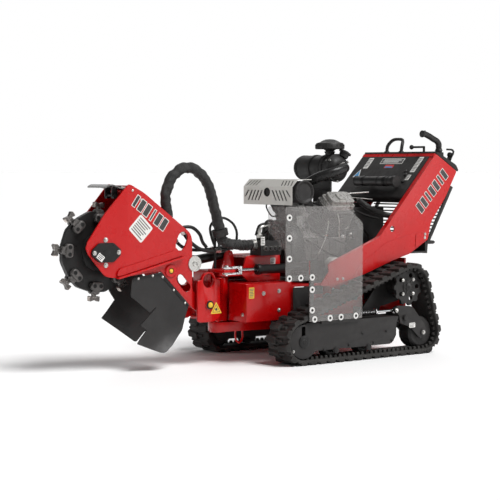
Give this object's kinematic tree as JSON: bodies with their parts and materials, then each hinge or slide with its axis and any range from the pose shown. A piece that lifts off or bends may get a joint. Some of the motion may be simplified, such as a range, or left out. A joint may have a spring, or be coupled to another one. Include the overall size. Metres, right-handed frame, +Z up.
{
  "type": "tracked stump grinder",
  "caption": "Walk-behind tracked stump grinder with a lifting and swinging cutter head, carbide-toothed wheel, engine and sloping control console.",
  "frame": {"origin": "middle of the footprint, on the ground", "axes": "+X forward to the cutter wheel, +Y to the operator's left, +Z up"},
  "size_m": [2.4872, 0.9043, 1.242],
  "materials": {
    "red_paint": "gloss red paint",
    "black_steel": "satin black powder coat",
    "cast_wheels": "black painted castings, worn on the treads",
    "rubber": "matt black rubber",
    "black_plastic": "moulded, lightly textured",
    "clear_plastic": "smoky clear sheet",
    "chrome_rod": "polished",
    "spring_steel": "black coated spring wire",
    "casting": "sand-cast and lightly dusty",
    "guard_steel": "satin white-silver sheet",
    "wheel_steel": "machined, slightly scuffed"
  },
  "bodies": {
    "chassis": {"main_frame": "red_paint", "front_box": "red_paint", "frame_neck": "red_paint", "track_frame_left": "black_steel", "track_frame_right": "black_steel", "track_belt_left": "rubber", "track_belt_right": "rubber", "side_arm_left": "red_paint", "side_arm_right": "red_paint", "drive_motor_left": "black_steel", "drive_motor_right": "black_steel", "tension_spring_left": "spring_steel", "tension_spring_right": "spring_steel", "shield": "clear_plastic", "console_panel": "black_steel", "console_cover": "black_plastic", "rear_guard": "black_steel", "document_tube": "black_plastic", "hoop_handle": "black_steel", "engine": "casting", "muffler": "black_steel", "muffler_guard": "guard_steel", "air_cleaner": "black_plastic", "hydraulic_pump": "black_steel", "control_valve": "casting", "hydraulic_tank": "black_steel", "tank_and_battery": "black_plastic", "hose_lower": "rubber"},
    "swing_frame": {"swing_frame": "red_paint", "hose_clamp": "black_steel"},
    "boom": {"cutter_head": "red_paint", "cutter_motor": "black_steel", "hub_cover": "black_steel", "deflector": "rubber", "chip_flap_left": "rubber", "chip_flap_right": "rubber", "hose_upper": "rubber"},
    "cutter_wheel": {"cutter_wheel": "wheel_steel"},
    "lift_barrel": {"lift_barrel": "black_steel"},
    "lift_rod": {"lift_rod": "chrome_rod"},
    "swing_barrel": {"swing_barrel": "black_steel"},
    "swing_rod": {"swing_rod": "chrome_rod"},
    "joystick_gimbal": {"joystick_gimbal": "black_plastic"},
    "joystick": {"joystick": "black_plastic"},
    "travel_lever": {"travel_lever": "black_steel"},
    "throttle_lever": {"throttle_lever": "black_steel"},
    "drive_sprocket_left": {"drive_sprocket_left": "cast_wheels"},
    "front_idler_left": {"front_idler_left": "cast_wheels"},
    "rear_idler_left": {"rear_idler_left": "cast_wheels"},
    "front_roller_left": {"front_roller_left": "cast_wheels"},
    "rear_roller_left": {"rear_roller_left": "cast_wheels"},
    "tensioner_arm_left": {"tensioner_arm_left": "black_steel"},
    "tension_rod_left": {"tension_rod_left": "chrome_rod"},
    "drive_sprocket_right": {"drive_sprocket_right": "cast_wheels"},
    "front_idler_right": {"front_idler_right": "cast_wheels"},
    "rear_idler_right": {"rear_idler_right": "cast_wheels"},
    "front_roller_right": {"front_roller_right": "cast_wheels"},
    "rear_roller_right": {"rear_roller_right": "cast_wheels"},
    "tensioner_arm_right": {"tensioner_arm_right": "black_steel"},
    "tension_rod_right": {"tension_rod_right": "chrome_rod"}
  },
  "joints": [
    {"name": "swing", "type": "hinge", "parent": "chassis", "child": "swing_frame", "pos_m": [0.243, 0, 0.317], "axis": [0, 0, 1], "range_deg": [-25, 25], "deforming": ["hose_lower"]},
    {"name": "boom_lift", "type": "hinge", "parent": "swing_frame", "child": "boom", "pos_m": [0.39, 0, 0.317], "axis": [0, 1, 0], "range_deg": [-5, 40], "deforming": ["hose_upper"]},
    {"name": "cutter_spin", "type": "hinge", "parent": "boom", "child": "cutter_wheel", "pos_m": [0.995, 0, 0.608], "axis": [0, 1, 0], "continuous": true},
    {"name": "lift_barrel_tilt", "type": "hinge", "parent": "swing_frame", "child": "lift_barrel", "pos_m": [0.198, 0, 0.57], "axis": [0, 1, 0], "range_deg": [-3, 12]},
    {"name": "lift_rod_slide", "type": "slide", "parent": "lift_barrel", "child": "lift_rod", "axis": [0.9905, 0, -0.1378], "range_m": [-0.019, 0.146]},
    {"name": "swing_barrel_turn", "type": "hinge", "parent": "chassis", "child": "swing_barrel", "pos_m": [-0.257, 0.175, 0.492], "axis": [0, 0, 1], "range_deg": [-3, 3]},
    {"name": "swing_rod_slide", "type": "slide", "parent": "swing_barrel", "child": "swing_rod", "axis": [0.9996, -0.0268, 0], "range_m": [-0.07, 0.07]},
    {"name": "drive_left", "type": "hinge", "parent": "chassis", "child": "drive_sprocket_left", "pos_m": [-0.764, 0.38, 0.373], "axis": [0, 1, 0], "continuous": true},
    {"name": "front_idler_spin_left", "type": "hinge", "parent": "chassis", "child": "front_idler_left", "pos_m": [0.006, 0.36, 0.125], "axis": [0, 1, 0], "continuous": true},
    {"name": "tensioner_left", "type": "hinge", "parent": "chassis", "child": "tensioner_arm_left", "pos_m": [-0.714, 0.36, 0.206], "axis": [0, 1, 0], "range_deg": [0, 2], "stiffness_Nm_per_rad": 4000, "springref_deg": -1.15},
    {"name": "rear_idler_spin_left", "type": "hinge", "parent": "tensioner_arm_left", "child": "rear_idler_left", "pos_m": [-0.853, 0.36, 0.118], "axis": [0, 1, 0], "continuous": true},
    {"name": "front_roller_spin_left", "type": "hinge", "parent": "chassis", "child": "front_roller_left", "pos_m": [-0.212, 0.36, 0.066], "axis": [0, 1, 0], "continuous": true},
    {"name": "rear_roller_spin_left", "type": "hinge", "parent": "chassis", "child": "rear_roller_left", "pos_m": [-0.442, 0.36, 0.066], "axis": [0, 1, 0], "continuous": true},
    {"name": "tension_rod_slide_left", "type": "slide", "parent": "chassis", "child": "tension_rod_left", "axis": [1, 0, 0], "range_m": [0, 0.0016], "deforming": ["tension_spring_left"]},
    {"name": "drive_right", "type": "hinge", "parent": "chassis", "child": "drive_sprocket_right", "pos_m": [-0.764, -0.38, 0.373], "axis": [0, 1, 0], "continuous": true},
    {"name": "front_idler_spin_right", "type": "hinge", "parent": "chassis", "child": "front_idler_right", "pos_m": [0.006, -0.36, 0.125], "axis": [0, 1, 0], "continuous": true},
    {"name": "tensioner_right", "type": "hinge", "parent": "chassis", "child": "tensioner_arm_right", "pos_m": [-0.714, -0.36, 0.206], "axis": [0, 1, 0], "range_deg": [0, 2], "stiffness_Nm_per_rad": 4000, "springref_deg": -1.15},
    {"name": "rear_idler_spin_right", "type": "hinge", "parent": "tensioner_arm_right", "child": "rear_idler_right", "pos_m": [-0.853, -0.36, 0.118], "axis": [0, 1, 0], "continuous": true},
    {"name": "front_roller_spin_right", "type": "hinge", "parent": "chassis", "child": "front_roller_right", "pos_m": [-0.212, -0.36, 0.066], "axis": [0, 1, 0], "continuous": true},
    {"name": "rear_roller_spin_right", "type": "hinge", "parent": "chassis", "child": "rear_roller_right", "pos_m": [-0.442, -0.36, 0.066], "axis": [0, 1, 0], "continuous": true},
    {"name": "tension_rod_slide_right", "type": "slide", "parent": "chassis", "child": "tension_rod_right", "axis": [1, 0, 0], "range_m": [0, 0.0016], "deforming": ["tension_spring_right"]},
    {"name": "stick_fore_aft", "type": "hinge", "parent": "chassis", "child": "joystick_gimbal", "pos_m": [-1.144, 0.245, 1.126], "axis": [0, 1, 0], "range_deg": [-12, 12], "stiffness_Nm_per_rad": 6},
    {"name": "stick_side", "type": "hinge", "parent": "joystick_gimbal", "child": "joystick", "pos_m": [-1.144, 0.245, 1.126], "axis": [1, 0, 0], "range_deg": [-12, 12], "stiffness_Nm_per_rad": 6},
    {"name": "travel_lever_turn", "type": "hinge", "parent": "chassis", "child": "travel_lever", "pos_m": [-1.084, 0.186, 1.136], "axis": [0, 0, 1], "range_deg": [-20, 20]},
    {"name": "throttle_turn", "type": "hinge", "parent": "chassis", "child": "throttle_lever", "pos_m": [-1.198, 0.282, 1.07], "axis": [0, 1, 0], "range_deg": [-20, 20]}
  ],
  "couplings": [
    {"joint": "lift_barrel_tilt", "follows": "boom_lift", "ratio": 0.2694},
    {"joint": "lift_rod_slide", "follows": "boom_lift", "m_per_rad": 0.2077},
    {"joint": "swing_barrel_turn", "follows": "swing", "ratio": 0.098},
    {"joint": "swing_rod_slide", "follows": "swing", "m_per_rad": -0.159},
    {"joint": "front_idler_spin_left", "follows": "drive_left", "ratio": 1.0928},
    {"joint": "rear_idler_spin_left", "follows": "drive_left", "ratio": 1.2045},
    {"joint": "front_roller_spin_left", "follows": "drive_left", "ratio": 2.9444},
    {"joint": "rear_roller_spin_left", "follows": "drive_left", "ratio": 2.9444},
    {"joint": "tension_rod_slide_left", "follows": "tensioner_left", "m_per_rad": 0.044},
    {"joint": "front_idler_spin_right", "follows": "drive_right", "ratio": 1.0928},
    {"joint": "rear_idler_spin_right", "follows": "drive_right", "ratio": 1.2045},
    {"joint": "front_roller_spin_right", "follows": "drive_right", "ratio": 2.9444},
    {"joint": "rear_roller_spin_right", "follows": "drive_right", "ratio": 2.9444},
    {"joint": "tension_rod_slide_right", "follows": "tensioner_right", "m_per_rad": 0.044}
  ]
}
